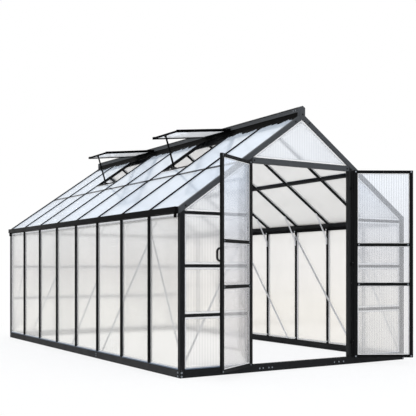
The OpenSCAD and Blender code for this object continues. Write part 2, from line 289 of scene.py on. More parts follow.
def round_arrises(piece: Piece, width: float, segments: int = 2) -> None:
    """Round the sharp edges of a piece and shade it smooth between them.

    Args:
        piece: The piece to finish.
        width: Width of the rounding in metres.
        segments: Faces across the rounding.
    """
    finish_with(
        piece, "BEVEL", width=width, segments=segments, limit_method="ANGLE",
        angle_limit=math.radians(SHARP_EDGE))
    smooth(piece, SMOOTH_EDGE)


def join(name: str, pieces: Sequence[Piece]) -> Piece:
    """Make one piece of several that already stand in place.

    Args:
        name: Name of the joined piece.
        pieces: The pieces, which become one.

    Returns:
        The joined piece.
    """
    take_up(*pieces)
    if len(pieces) > 1:
        bpy.ops.object.join()
    pieces[0].name = name
    return pieces[0]


def copies(master: Piece, name: str, places: Sequence[Matrix]) -> Piece:
    """Set a copy of one shape, each with its own mesh, at every place and join them.

    Args:
        master: The shape, modelled round the origin; it stays as it is.
        name: Name of the joined piece.
        places: Where each copy goes.

    Returns:
        The joined piece.
    """
    made = [stand(name, master.data.copy()) for _ in places]
    for one, place in zip(made, places, strict=True):
        one.data.transform(place)
    return join(name, made)


def both_sides(spots: Sequence[Spot]) -> list[Spot]:
    """Repeat fastener places of the right side on the left and the right."""
    return [((s * x, y, z), (s * a, b, c)) for s in SIDES for (x, y, z), (a, b, c) in spots]


def facing(point: Point, direction: Point, turn: float = 0.0) -> Matrix:
    """Place a shape that stands up along Z so that it looks along a direction."""
    tip = Vector(direction).to_track_quat("Z", "Y").to_matrix().to_4x4()
    return Matrix.Translation(point) @ tip @ Matrix.Rotation(turn, 4, "Z")


def widen(piece: Piece, axis: int, line: float, reach: float, scale: float) -> None:
    """Scale the bars of a piece that lie along one line, at right angles to it.

    Args:
        piece: The piece.
        axis: Axis that the bars are widened along.
        line: Where the middle of the bars lies on that axis; it stays there.
        reach: How far from the line the bars' faces may lie.
        scale: How many times wider they become.
    """
    with editing(piece):
        pick(piece, lambda face: abs(face.calc_center_median()[axis] - line) < reach)
        bpy.ops.transform.resize(
            value=tuple(scale if one == axis else 1 for one in (X, Y, Z)),
            center_override=tuple(line if one == axis else 0 for one in (X, Y, Z)))


class Facing(Enum):
    """Which way a bar's face looks, seen from the middle of the building."""

    SIDE_OUT = "away from the middle line"
    SIDE_IN = "towards the middle line"
    END_OUT = "out of the gable"
    END_IN = "into the building"
    UP = "up"
    DOWN = "down"
    ALONG = "along the building, either way"

    def holds(self, face: Face) -> bool:
        """Tell whether a face looks this way.

        Args:
            face: The face.

        Returns:
            Whether it does.
        """
        centre, normal = face.calc_center_median(), face.normal
        side = math.copysign(1.0, centre.x)
        end = math.copysign(1.0, centre.y - MIDDLE_Y)
        return {
            Facing.SIDE_OUT: normal.x * side > STRAIGHT,
            Facing.SIDE_IN: normal.x * side < -STRAIGHT,
            Facing.END_OUT: normal.y * end > STRAIGHT,
            Facing.END_IN: normal.y * end < -STRAIGHT,
            Facing.UP: normal.z > SLOPING,
            Facing.DOWN: normal.z < -SLOPING,
            Facing.ALONG: looks_along(face),
        }[self]


@dataclass(frozen=True)
class Channel:
    """A channel pressed into every face of a bar that looks one way.

    Attributes:
        looks: Which faces it is pressed into.
        rim: Width left standing round it, in metres.
        depth: How deep it goes, in metres.
        smallest: Faces smaller than this, in square metres, are left alone.
    """

    looks: Facing
    rim: float
    depth: float
    smallest: float = 0.004

    def takes(self, face: Face) -> bool:
        """Tell whether the channel is pressed into a face."""
        return self.looks.holds(face) and face.calc_area() > self.smallest


def press(piece: Piece, channels: Sequence[Channel]) -> None:
    """Press channels into a bar's faces."""
    for channel in channels:
        dish(piece, channel.takes, (channel.rim, -channel.depth), each=True)


# ---------------------------------------------------------------- finishes


def linear(colour: str) -> tuple[float, float, float, float]:
    """Turn an sRGB hex value into the linear colour that a socket takes.

    Args:
        colour: The hex value, such as "#ffffff".

    Returns:
        Red, green, blue and full opacity.
    """
    parts = [int(colour[i : i + 2], 16) / 255 for i in (1, 3, 5)]
    r, g, b = (c / 12.92 if c <= 0.04045 else ((c + 0.055) / 1.055) ** 2.4 for c in parts)
    return (r, g, b, 1.0)


def add_node(
    tree: bpy.types.NodeTree,
    kind: str,
    values: dict[str | int, Any] | None = None,
    links: dict[str | int, Node | bpy.types.NodeSocket] | None = None,
    stops: Sequence[tuple[float, str]] = (),
    **settings: Any,
) -> Node:
    """Add a node with its settings, constants and links.

    Args:
        tree: The tree that it goes in.
        kind: Node type, without the word that all of them start with.
        values: Constant for each input socket; a hex colour is turned to linear.
        links: What feeds each input socket: an output, or a node for its first output.
        stops: Pairs of place and hex colour, where the node has a colour ramp.
        **settings: Properties of the node itself.

    Returns:
        The node.
    """
    node = tree.nodes.new("ShaderNode" + kind)
    for key, value in settings.items():
        setattr(node, key, value)
    for key, value in (values or {}).items():
        node.inputs[key].default_value = linear(value) if isinstance(value, str) else value
    for key, source in (links or {}).items():
        socket = source.outputs[0] if isinstance(source, Node) else source
        tree.links.new(socket, node.inputs[key])
    if stops:
        elements = node.color_ramp.elements
        while len(elements) < len(stops):
            elements.new(1.0)
        for element, (place, colour) in zip(elements, stops, strict=True):
            element.position = place
            element.color = linear(colour)
    return node


def plainly_seen(add: Adder) -> Node:
    """Find the rays that see a plain white room: the camera's, gloss and see-through ones.

    Args:
        add: Adds a node.

    Returns:
        A node that is 1 for those rays.
    """
    ray = add("LightPath").outputs
    seen = add(
        "Math", links={0: ray["Is Camera Ray"], 1: ray["Is Glossy Ray"]}, operation="MAXIMUM")
    return add(
        "Math", links={0: seen, 1: ray["Is Transmission Ray"]}, operation="MAXIMUM")


@dataclass(frozen=True)
class Finish:
    """A finish that a piece can wear.

    Attributes:
        name: What the finish is in the workshop.
    """

    name: str

    def build(self, add: Adder) -> Node:
        """Lay the finish's nodes.

        Args:
            add: Adds a node.

        Returns:
            The last shader.
        """
        raise NotImplementedError

    def material(self) -> bpy.types.Material:
        """Return the material, made on first use."""
        if self.name not in bpy.data.materials:
            made = bpy.data.materials.new(self.name)
            made.use_nodes = True
            made.node_tree.nodes.clear()
            add = partial(add_node, made.node_tree)
            add("OutputMaterial", links={"Surface": self.build(add)})
        return bpy.data.materials[self.name]


@dataclass(frozen=True)
class PowderCoat(Finish):
    """Polyester powder baked on aluminium: satin, near black, with a fine orange peel.

    Attributes:
        colour: Base colour.
        dusty: Colour where a thin film of dust has settled.
        roughness: Middle of the roughness range.
        shine: Strength of the clear gloss over the colour.
    """

    colour: str = "#111214"
    dusty: str = "#1a1b1d"
    roughness: float = 0.48
    shine: float = 0.1

    def build(self, add: Adder) -> Node:
        """Lay the coat with its tone, its gloss changes and its orange peel.

        Args:
            add: Adds a node.

        Returns:
            The last shader.
        """
        place = add("TexCoord").outputs
        here = {"Vector": place["Object"]}
        # Film thickness drifts over about 120 mm of bar.
        drift = add("TexNoise", {"Scale": 8.0, "Detail": 4.0, "Roughness": 0.6}, here)
        normal = add("SeparateXYZ", links={0: place["Normal"]}).outputs
        settled = add(
            "Math", {1: 0.5}, {0: normal["Z"], 2: drift}, operation="MULTIPLY_ADD", use_clamp=True)
        tone = add("Mix", {6: self.colour, 7: self.dusty}, {0: settled}, data_type="RGBA")
        # Orange peel is 1 to 2 mm across; it is drawn at 4 mm so that it can show.
        peel = add("TexNoise", {"Scale": 250.0, "Detail": 2.0}, here)
        relief = add("Bump", {"Strength": 0.5, "Distance": 0.0003}, {"Height": peel})
        spread = {"To Min": self.roughness - 0.05, "To Max": self.roughness + 0.07}
        gloss = add("MapRange", {"From Min": 0.3, "From Max": 0.7, **spread}, {"Value": drift})
        return add(
            "BsdfPrincipled",
            {"IOR": 1.5, "Specular IOR Level": self.shine},
            {"Base Color": tone.outputs[2], "Roughness": gloss, "Normal": relief})


@dataclass(frozen=True)
class Plastic(Finish):
    """A plastic with soft patches of a second tone and a fine grain in its face.

    Attributes:
        colour: Main colour.
        second: Colour of the patches.
        patches: Scale, detail and roughness of their pattern.
        edges: Where in the pattern the second colour starts and is full.
        grain: Scale of the grain, with the strength and depth of its relief.
        gloss: Roughness of the face.
        shine: Strength of its reflection.
        bend: Index of refraction.
    """

    colour: str
    second: str
    patches: Point
    edges: tuple[float, float]
    grain: Point
    gloss: float
    shine: float
    bend: float

    def build(self, add: Adder) -> Node:
        """Lay the plastic with its patches and its grain.

        Args:
            add: Adds a node.

        Returns:
            The last shader.
        """
        here = {"Vector": add("TexCoord").outputs["Object"]}
        patch = dict(zip(("Scale", "Detail", "Roughness"), self.patches, strict=True))
        stops = list(zip(self.edges, (self.colour, self.second), strict=True))
        tone = add("ValToRGB", links={"Fac": add("TexNoise", patch, here)}, stops=stops)
        scale, strength, depth = self.grain
        grain = add("TexNoise", {"Scale": scale, "Detail": 2.0}, here)
        relief = add("Bump", {"Strength": strength, "Distance": depth}, {"Height": grain})
        return add(
            "BsdfPrincipled",
            {"IOR": self.bend, "Roughness": self.gloss, "Specular IOR Level": self.shine},
            {"Base Color": tone, "Normal": relief})


@dataclass(frozen=True)
class BareMetal(Finish):
    """Uncoated metal that keeps its mill or plating marks.

    Attributes:
        colour: Colour of the clean metal.
        dull: Colour where it has dulled.
        roughness: Roughness of the clean metal.
        stretch: How the marks are drawn out, along each axis: less than 1 is longer.
    """

    colour: str = "#d3d6da"
    dull: str = "#b4b9bf"
    roughness: float = 0.4
    stretch: Point = (1.0, 1.0, 0.15)

    def build(self, add: Adder) -> Node:
        """Lay the metal with drawn streaks and dull patches.

        Args:
            add: Adds a node.

        Returns:
            The last shader.
        """
        place = add("TexCoord").outputs["Object"]
        # Drawing marks are finer than 1 mm; they are drawn about 8 mm across.
        drawn = add("Mapping", {"Scale": self.stretch}, {"Vector": place})
        marks = {"Scale": 120.0, "Detail": 5.0, "Roughness": 0.65}
        streaks = add("TexNoise", marks, {"Vector": drawn})
        stops = [(0.3, self.dull), (0.7, self.colour)]
        tone = add("ValToRGB", links={"Fac": streaks}, stops=stops)
        spread = {"To Min": self.roughness + 0.12, "To Max": self.roughness - 0.08}
        gloss = add("MapRange", spread, {"Value": streaks})
        return add(
            "BsdfPrincipled", {"Metallic": 1.0}, {"Base Color": tone, "Roughness": gloss})


@dataclass(frozen=True)
class TwinWall(Finish):
    """Extruded twin-wall polycarbonate: milky, with inner ribs that smear what lies behind.

    Attributes:
        low: Colour near the ground; low, middle and high are a ramp of painted light and shade.
        middle: Colour half way up.
        high: Colour at the top.
        across: Direction that crosses the ribs.
        bottom: Height of the low colour, in metres.
        top: Height of the high colour, in metres.
        clear: Share of light that passes unscattered at each face.
        relief: Height of the rib waves, in metres.
        haze: Roughness of its faces.
        glow: Share of light that soaks through and lights the sheet from behind.
        ribs: How grey the ribs are drawn, from 0 to 1.
        pitch: Distance between the ribs as they are drawn, in metres.
        sky: Painted sky light: colour of faces that look up, where the sheet lies on the roof.
        rests: How far from the middle the sheet lies on a purlin, where the purlin's shade is
            painted as a slate line, in metres, or 0.
        bend: Index of refraction.
    """

    low: str = "#fdfbf6"
    middle: str = "#f6f4f1"
    high: str = "#fbf9f7"
    across: Point = (0.0, 1.0, 0.0)
    bottom: float = 0.065
    top: float = 1.3
    clear: float = 0.74
    relief: float = 0.00003
    haze: float = 0.075
    glow: float = 0.0
    ribs: float = 0.2
    pitch: float = 0.026
    sky: str = ""
    rests: float = 0.0
    bend: float = 1.58

    def build(self, add: Adder) -> Node:
        """Lay the sheet: ribs, milky body, and the clear share that lets lamps in.

        Args:
            add: Adds a node.

        Returns:
            The last shader.
        """
        place = add("TexCoord").outputs
        where = add("SeparateXYZ", links={0: place["Object"]}).outputs
        # Ribs stand 6 to 10 mm apart; they are drawn 16 mm apart or more so that they show.
        across = add("VectorMath", {1: self.across}, {0: place["Object"]}, operation="DOT_PRODUCT")
        phase = add(
            "Math", {1: math.tau / self.pitch}, {0: across.outputs["Value"]}, operation="MULTIPLY")
        wave = add("Math", links={0: phase}, operation="SINE")
        relief = add("Bump", {"Strength": 1.0, "Distance": self.relief}, {"Height": wave})
        ribs = add("MapRange", {"To Max": self.ribs}, {"Value": wave})
        # The colours up the sheet are painted light and shade, set for where each sheet stands.
        level = add(
            "MapRange", {"From Min": self.bottom, "From Max": self.top}, {"Value": where["Z"]})
        stops = [(0.0, self.low), (0.3, self.low), (0.62, self.middle), (1.0, self.high)]
        shade = add("ValToRGB", links={"Fac": level}, stops=stops).outputs[0]
        # Faces that look up take the sky's bluish light, painted into their colour.
        if self.sky:
            normal = add("SeparateXYZ", links={0: place["Normal"]}).outputs
            upward = add("Math", {1: 0.2}, {0: normal["Z"]}, operation="GREATER_THAN")
            shade = add(
                "Mix", {7: self.sky}, {0: upward, 6: shade}, data_type="RGBA").outputs[2]
        # Soft blotches of painted shade and reflection from what stands behind the sheet, about
        # 400 mm across and taller than wide.
        drawn = add("Mapping", {"Scale": (1.0, 1.0, 0.55)}, {"Vector": place["Object"]})
        blotch_noise = add(
            "TexNoise", {"Scale": 2.4, "Detail": 5.0, "Roughness": 0.55}, {"Vector": drawn})
        painted_blotch_shade = add(
            "MapRange", {"From Min": 0.5, "From Max": 0.75, "To Max": 0.08}, {"Value": blotch_noise})
        shadow = add("Math", links={0: painted_blotch_shade, 1: ribs}, operation="ADD")
        gloss = {}
        if self.rests:
            # Where it lies on its purlin, the sheet has the bar's shade painted on it as a slate
            # line 32 mm wide.
            aside = add("Math", links={0: where["X"]}, operation="ABSOLUTE")
            near = add("Math", {1: self.rests, 2: 0.016}, {0: aside}, operation="COMPARE")
            shadow = add("Math", links={0: shadow, 1: near}, operation="MAXIMUM")
            # Over the painted purlin line the sheet's reflection is turned off, so that the sky
            # doesn't lighten it.
            dull = add("Math", {1: -0.5, 2: 0.5}, {0: near}, operation="MULTIPLY_ADD")
            gloss = {"Specular IOR Level": dull}
        # Colour that the rib lines and the painted shade go to: dark slate on the roof, where it
        # also draws the painted purlin line, and grey elsewhere.
        dark = "#1c232c" if self.rests else "#a9adb3"
        tone = add("Mix", {7: dark}, {0: shadow, 6: shade}, data_type="RGBA").outputs[2]
        sheet = add(
            "BsdfPrincipled",
            {"IOR": self.bend, "Roughness": self.haze, "Transmission Weight": self.clear},
            {"Base Color": tone, "Normal": relief, **gloss})
        soaked = add("BsdfTranslucent", links={"Color": tone})
        milky = add("MixShader", {0: self.glow}, {1: sheet, 2: soaked})
        open_way = add("BsdfTransparent", {"Color": "#fdfdfd"})
        ray = add("LightPath").outputs
        passes = add(
            "Math", links={0: ray["Is Shadow Ray"], 1: ray["Is Diffuse Ray"]}, operation="MAXIMUM")
        return add("MixShader", links={0: passes, 1: milky, 2: open_way})


FRAME_BLACK = PowderCoat("black_powder_coat")
GABLE_GREY = PowderCoat("graphite_powder_coat", "#393b3e", "#434649", 0.5, 0.14)
GUTTER_BLACK = PowderCoat("gutter_black_powder_coat", "#070708", "#0e0e0f", 0.5, 0.04)
DOOR_BLACK = PowderCoat("door_black_powder_coat", "#090a0b", "#121314", 0.47, 0.06)
# The door jambs wear a lighter copy of the black coat: painted light that makes up for the shade
# of the open leaves.
LIT_JAMB_BLACK = PowderCoat("door_post_powder_coat_painted_light", "#1c1d1e", "#252627")
VENT_BLACK = PowderCoat("vent_black_powder_coat", "#060607", "#0b0b0c", 0.6, 0.01)
ZINC = BareMetal("zinc_plated_steel", "#dfe2e6", "#b9bec4", 0.28, (1.0, 1.0, 1.0))
DULL_ZINC = BareMetal("dull_zinc_plate", "#9aa0a7", "#7d838a", 0.4)
# A slate-blue strip that paints the sky's reflection along the base's top edge.
SKY_REFLECTION_STRIP = PowderCoat("slate_blue_painted_sky_reflection", "#5d6c7e", "#6b798a", 0.4, 0.3)
MILL_ALUMINIUM = BareMetal("mill_aluminium", "#98a1ad", "#828c9a", 0.42)
STRUT_METAL = BareMetal("galvanised_strut", "#dcdde0", "#c3c5c9", 0.45)

# Glass-filled nylon, rubber and foam: black and a little scuffed. Spark-eroded grain is about
# 0.3 mm; it is drawn at 2 mm.
MOULDED = {
    "patches": (30.0, 6.0, 0.7), "edges": (0.35, 0.75), "grain": (500.0, 0.5, 0.0002),
    "gloss": 0.5, "bend": 1.53,
}
NYLON = Plastic("black_moulded_nylon", "#101112", "#1a1b1c", shine=0.15, **MOULDED)
# Its black foam also stands as painted shade under the ridge cap, where it runs out over the
# sheets.
FOAM_AND_SHADE = Plastic("black_foam_and_painted_shade", "#050505", "#0c0c0c", shine=0.02, **MOULDED)
RUBBER = Plastic("black_glazing_rubber", "#0a0b0c", "#141516", shine=0.01, **MOULDED)

# White vented tape that seals a sheet's open edges, and the grey line inside it: lightly
# soiled, with crinkles about 11 mm apart.
PRESSED_ON = {
    "patches": (5.0, 5.0, 0.65), "edges": (0.4, 0.8), "grain": (90.0, 0.4, 0.0004),
    "shine": 0.5, "bend": 1.5,
}
WHITE_TAPE = Plastic("white_edge_tape", "#ffffff", "#f6f5f2", gloss=0.45, **PRESSED_ON)
# The grey line is a ring of grey colour on the tape's inner edge.
GREY_LINE = Plastic("grey_line_inside_tape", "#bfc2c6", "#b0b3b7", gloss=0.5, **PRESSED_ON)

# The sheets below are lit and shaded copies of one twin-wall: the left wall's darker middle is
# painted shade of what stands behind it, the right wall's warm white is painted light soaking
# through, and the bluish tops are painted sky light.
# The rib waves of sheets with more behind them are all but flat, which keeps them free of grain.
SIDE_WALL = {"relief": 0.00004, "haze": 0.055, "ribs": 0.05, "pitch": 0.016}
CALM = {"relief": 0.000004}
LEFT_SHEET = TwinWall("milky_twin_wall_left", "#f6f4ef", "#e6e4e1", "#f0efed", **SIDE_WALL)
RIGHT_SHEET = TwinWall(
    "twin_wall_right_painted_warm_light", "#fffbf4", "#fffcf8", "#fffdfa", glow=0.15, **SIDE_WALL)
GABLE_SHEET = TwinWall(
    "milky_twin_wall_gable", "#fefcf8", "#fbf9f6", "#f5f8fc", (1.0, 0.0, 0.0), top=1.6,
    clear=0.7, **CALM)
LEFT_LEAF_SHEET = TwinWall(
    "milky_twin_wall_left_leaf", "#efedec", "#f1f1f3", "#f1f7ff",
    (math.cos(LEAF_TURN), -math.sin(LEAF_TURN), 0.0), top=1.6, clear=0.78, haze=0.05,
    ribs=0.06, pitch=0.045, **CALM)
RIGHT_LEAF_SHEET = TwinWall(
    "milky_twin_wall_right_leaf", "#efeeed", "#e6e7ea", "#f0f4fa",
    (math.cos(LEAF_TURN), math.sin(LEAF_TURN), 0.0), top=1.6, clear=0.82, haze=0.035,
    ribs=0.32, pitch=0.022, **CALM)
ROOF_SHEET = TwinWall(
    "twin_wall_roof_painted_sky_light", "#fbf9f5", "#f9f7f4", "#f9f7f4", bottom=1.3, top=2.2,
    clear=0.55, haze=0.08, ribs=0.012, pitch=0.016, sky="#e9f2fc", rests=0.65, bend=1.2,
    **CALM)
VENT_SHEET = TwinWall(
    "twin_wall_vent_painted_sky_light", "#fafcff", "#fafcff", "#fafcff", clear=0.6, haze=0.06,
    glow=0.4, ribs=0.0, sky="#f6faff", **CALM)


def wear(piece: Piece, finish: Finish) -> None:
    """Give a piece one finish all over."""
    piece.data.materials.clear()
    piece.data.materials.append(finish.material())


# ---------------------------------------------------------------- parts of the building


class Slot(Enum):
    """Names of material slots."""

    FRAME = "frame_coating"
    GUTTER = "gutter_coating"
    FITTINGS = "black_fittings"
    WALL_SHEETS = "wall_twin_wall"
    ROOF_SHEETS = "roof_twin_wall"
    BRACES = "bare_braces"


@dataclass
class FastenerBox:
    """Screw and bolt heads, modelled once and copied to their places.

    Attributes:
        head: Radius of a pan head, in metres.
        washer: Radius of its washer.
        masters: The shapes that are copied, by kind.
    """

    head: float = 0.005
    washer: float = 0.0085
    masters: dict[str, Piece] = field(default_factory=dict)

    def pan_head(self, size: float = 1.0) -> Piece:
        """Model a pan head with a sunk drive, standing on a plain washer.

        Args:
            size: Width, as a share of the usual head and washer.

        Returns:
            The master.
        """
        radius = self.head * size
        head = rod((0, 0, 0.0026), radius, 0.0034, 10)
        dish(head, looks(Z), (radius * 0.28, 0.0007), (radius * 0.3, 0.0), lift=-0.0016)
        washer = rod((0, 0, 0.0004), self.washer * size, 0.0012, 12)
        dish(washer, looks(Z), (0.001, 0.0003))
        return smooth(join("fastener_master", [head, washer]), 40)

    def build(self) -> None:
        """Model the masters, which are removed at the end."""
        self.masters = {"bolt": self.pan_head(), "screw": self.pan_head(0.8)}

    def put_away(self) -> None:
        """Remove the masters once everything is set out."""
        put_down()
        for master in self.masters.values():
            bpy.data.objects.remove(master)


@dataclass
class Assembly:
    """A group of pieces that are built and dressed together.

    Attributes:
        body: Moving body that its pieces ride on.
        box: Where its screws and bolts come from.
    """

    body: str = "greenhouse"
    box: FastenerBox = field(default_factory=FastenerBox)

    def keep(
        self,
        piece: Piece,
        finish: Finish | None = None,
        slot: Slot | None = Slot.FRAME,
        node: str = "",
        rounding: float = 0.0,
        segments: int = 2,
    ) -> None:
        """Finish a piece and tie it to its body.

        Args:
            piece: The piece, in place.
            finish: Finish that it wears, if it isn't dressed yet.
            slot: Material slot that it takes its finish from; not used.
            node: CAD node that it replaces.
            rounding: Width of its rounded arrises, in metres, or 0 to leave them.
            segments: Faces across the rounding.
        """
        if rounding:
            round_arrises(piece, rounding, segments)
        if finish is not None:
            wear(piece, finish)
        if node:
            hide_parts(node)
        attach(piece, self.body)
        made = type(self).__name__, piece.name, len(piece.data.polygons)
        LOG.info("%s: %s, %d faces", *made)

    def bar(
        self,
        node: str,
        finish: Finish,
        channels: Sequence[Channel] = (),
        rounding: float = 0.0015,
        slot: Slot = Slot.FRAME,
        piece: Piece | None = None,
    ) -> None:
        """Shape the bars of one node: press their channels and round their arrises.

        Args:
            node: CAD node that the bars stand for.
            finish: Finish that they wear.
            channels: Channels pressed into them.
            rounding: Width of the rounded arrises, in metres.
            slot: Material slot.
            piece: The copy of the node, where it was widened before.
        """
        piece = piece or solid_of(node)
        press(piece, channels)
        self.keep(piece, finish, slot, node, rounding)

    def fasten(
        self, name: str, places: Sequence[Spot], finish: Finish, kind: str = "screw"
    ) -> None:
        """Set a fastener at each place.

        Args:
            name: Name of the joined piece.
            places: Pairs of a point on the surface and the way the head looks.
            finish: Finish of the fasteners.
            kind: Which master of the box is copied.
        """
        rng = random.Random(len(places))
        spots = [facing(p, d, rng.uniform(0, math.pi)) for p, d in places]
        self.keep(copies(self.box.masters[kind], name, spots), finish, None)

    def build(self) -> None:
        """Build the assembly's pieces."""
        raise NotImplementedError


@dataclass
class BaseFrame(Assembly):
    """The ring of base rails with its corner brackets, slate-blue strips of painted sky reflection
    and bolts.

    Attributes:
        bracket: Thickness, length and height of a corner bracket.
        sill: Height of the middle of the strips of painted sky reflection, and of the strips, in
            metres.
        threshold: Where the screws along the threshold stand.
    """

    bracket: Point = (0.003, 0.064, 0.05)
    sill: tuple[float, float] = (0.0685, 0.009)
    threshold: tuple[float, ...] = (-0.457, -0.421, -0.363, -0.328, 0.359, 0.411, 0.465)

    def build(self) -> None:
        """Shape the rails and bolt the ring together."""
        for node, out, inside in (
            ("side_base_rails", Facing.SIDE_OUT, Facing.SIDE_IN),
            ("end_base_rails", Facing.END_OUT, Facing.END_IN),
        ):
            rail = (Channel(out, 0.005, 0.0014, 0.1), Channel(inside, 0.009, 0.012, 0.1))
            self.bar(node, FRAME_BLACK, rail, 0.003)
        brackets = []
        for side in SIDES:
            for end, inwards in ((0.02, 1), (4.22, -1)):
                at = (side * 1.1785, end + inwards * 0.052, 0.034)
                brackets.append(dish(block(at, self.bracket), looks(X, -side), (0.006, -0.0006)))
                round_arrises(brackets[-1], 0.0008)
        self.keep(join("base_corner_brackets", brackets), GABLE_GREY)
        self.sills()
        self.bolt_down()

    def sills(self) -> None:
        """Lay a thin slate-blue strip on the base, under the sheets' outer faces: a painted
        reflection of the sky along its top edge.
        """
        middle, height = self.sill
        runs = [((side * 1.2135, MIDDLE_Y), (0.008, 4.2)) for side in SIDES]
        for side in SIDES:
            runs += [((side * 0.8765, y), (0.597, 0.009)) for y in (-0.0095, 4.2495)]
        made = [
            dish(block((*at, middle), (*size, height)), looks(Z), (0.0018, 0.0005))
            for at, size in runs
        ]
        self.keep(join("base_painted_sky_reflection_strips", made), SKY_REFLECTION_STRIP, rounding=0.0005, segments=1)

    def bolt_down(self) -> None:
        """Set the corner, threshold and splice bolts."""
        corner: list[Spot] = []
        for z in (0.014, 0.043):
            corner += [((1.2065, y, z), look) for y, look in ENDS]
            corner += [((HALF_WIDTH, y, z), OUT) for y in (0.016, 4.224)]
        self.fasten("base_corner_bolts", both_sides(corner), DULL_ZINC, "bolt")
        threshold = [((x, FRONT + 0.001, 0.028), TO_FRONT) for x in self.threshold]
        splice = [((HALF_WIDTH - 0.001, 1.602, z), OUT) for z in (0.024, 0.046)]
        self.fasten("threshold_bolts", threshold + both_sides(splice), DULL_ZINC)


@dataclass
class WallFrame(Assembly):
    """Posts, jambs, rails and eave beams of the four walls.

    Attributes:
        strip: Thickness, width and length of a post's glazing strip.
        strip_at: Distance of the strips from the middle line, and height of their middle.
        angle: Depth, length and height of an eave angle.
        angle_at: Distance of the angles from the middle line, and their height.
        corner_plate: Outline of the plate behind an eave joint, in X and Z.
        jamb_plate: Outline of the plate behind a door jamb's top.
        plate: Thickness of the plates.
        plate_lines: Y of the plates' front faces.
    """

    strip: Point = (0.0104, 0.042, 1.227)
    strip_at: tuple[float, float] = (1.2143, 0.6815)
    angle: Point = (0.01, LENGTH - 0.1, 0.036)
    angle_at: tuple[float, float] = (1.181, 1.2775)
    corner_plate: tuple[tuple[float, float], ...] = (
        (1.215, 1.19), (1.178, 1.19), (1.178, 1.31), (1.09, 1.385), (1.09, 1.425), (1.215, 1.335))
    jamb_plate: tuple[tuple[float, float], ...] = (
        (0.575, 1.62), (0.532, 1.62), (0.532, 1.79), (0.48, 1.83), (0.48, 1.862), (0.575, 1.79))
    plate: float = 0.002
    plate_lines: tuple[float, float] = (0.0202, 4.2178)

    def build(self) -> None:
        """Shape every upright and rail, then add plates and screws."""
        corner = tuple(
            Channel(way, 0.008, 0.001, 0.03) for way in (Facing.SIDE_OUT, Facing.END_OUT))
        post = (Channel(Facing.SIDE_IN, 0.006, 0.009, 0.02),)
        jamb = (
            Channel(Facing.END_OUT, 0.009, 0.0012, 0.03),
            Channel(Facing.END_IN, 0.011, 0.008, 0.03),
        )
        header = (Channel(Facing.END_OUT, 0.008, 0.0018),)
        rail = (
            Channel(Facing.END_OUT, 0.006, 0.0015, 0.01),
            Channel(Facing.END_IN, 0.007, 0.006, 0.01),
        )
        eave = (
            Channel(Facing.SIDE_IN, 0.008, 0.005, 0.1),
            Channel(Facing.DOWN, 0.01, 0.003, 0.1),
        )
        for node, finish, channels, rounding in (
            ("corner_posts", FRAME_BLACK, corner, 0.003),
            ("side_wall_posts", FRAME_BLACK, post, 0.002),
            ("door_jambs", LIT_JAMB_BLACK, jamb, 0.002),
            ("back_wall_posts", FRAME_BLACK, jamb, 0.002),
            ("door_header", GABLE_GREY, header, 0.0015),
            ("front_side_rails", FRAME_BLACK, rail, 0.0018),
            ("back_wall_rails", FRAME_BLACK, rail, 0.0018),
            ("eave_beams", FRAME_BLACK, eave, 0.002),
        ):
            self.bar(node, finish, channels, rounding)
        self.strips()
        self.eave_angles()
        self.gussets()
        self.screws()

    def strips(self) -> None:
        """Snap a rubber glazing strip over every side post and the sheet edges beside it."""
        x, z = self.strip_at
        made = [
            dish(block((side * x, y, z), self.strip), looks(X, side), (0.008, -0.0012))
            for side, y in POSTS
        ]
        self.keep(join("post_glazing_strips", made), RUBBER, Slot.FITTINGS, rounding=0.0012)

    def eave_angles(self) -> None:
        """Run a pressed angle under each eave beam, along the inner faces of the posts."""
        x, z = self.angle_at
        made = []
        for side in SIDES:
            angle = block((side * x, MIDDLE_Y, z), self.angle)
            dish(angle, looks(X, -side), (0.008, -0.004))
            made.append(dish(angle, looks(Z), (0.0025, -0.003)))
        self.keep(join("eave_angles", made), GUTTER_BLACK, rounding=0.0015)

    def gusset(self, outline: Sequence[tuple[float, float]], y: float) -> Piece:
        """Cut a joint plate to an outline in X and Z.

        Args:
            outline: Corners of the plate, in order.
            y: Where the plate's face lies.

        Returns:
            The plate.
        """
        bpy.ops.mesh.primitive_circle_add(
            vertices=len(outline), radius=1, fill_type="NGON", location=(0, y, 0))
        plate = new_piece()
        for vertex, (x, z) in zip(plate.data.vertices, outline, strict=True):
            vertex.co = (x, y, z)
        with editing(plate):
            pick_all()
            bpy.ops.mesh.normals_make_consistent(inside=False)
            extrude(0, self.plate, 0)
            pick_all()
            bpy.ops.mesh.normals_make_consistent(inside=False)
        return plate

    def gussets(self) -> None:
        """Fit the plates behind the gable joints."""
        plates = [
            self.gusset([(side * x, z) for x, z in outline], y)
            for y in self.plate_lines
            for side in SIDES
            for outline in (self.corner_plate, self.jamb_plate)
        ]
        piece = join("gable_joint_plates", plates)
        self.keep(piece, GABLE_GREY, rounding=0.0006, segments=1)

    def screws(self) -> None:
        """Set the screws of the jambs, header, rails and eave joints."""
        joints = ((1.197, 1.205), (1.197, 1.29), (0.553, 1.65), (0.553, 1.75))
        bright = [((0.566, FRONT + 0.0012, z), TO_FRONT) for z in (1.333, 1.085, 0.729)]
        bright += [((x, 0.022, z), TO_BACK) for x, z in joints]
        for y in POST_LINES[1:-1]:
            bright += [((1.1757, y, 1.272), IN), ((1.186, y, 0.085), IN)]
        dark = [((0.553, FRONT, 1.752), TO_FRONT), ((0.51, FRONT + 0.001, 1.757), TO_FRONT)]
        self.fasten("wall_frame_screws", both_sides(bright), ZINC, "bolt")
        self.fasten("gable_joint_bolts", both_sides(dark), NYLON, "bolt")


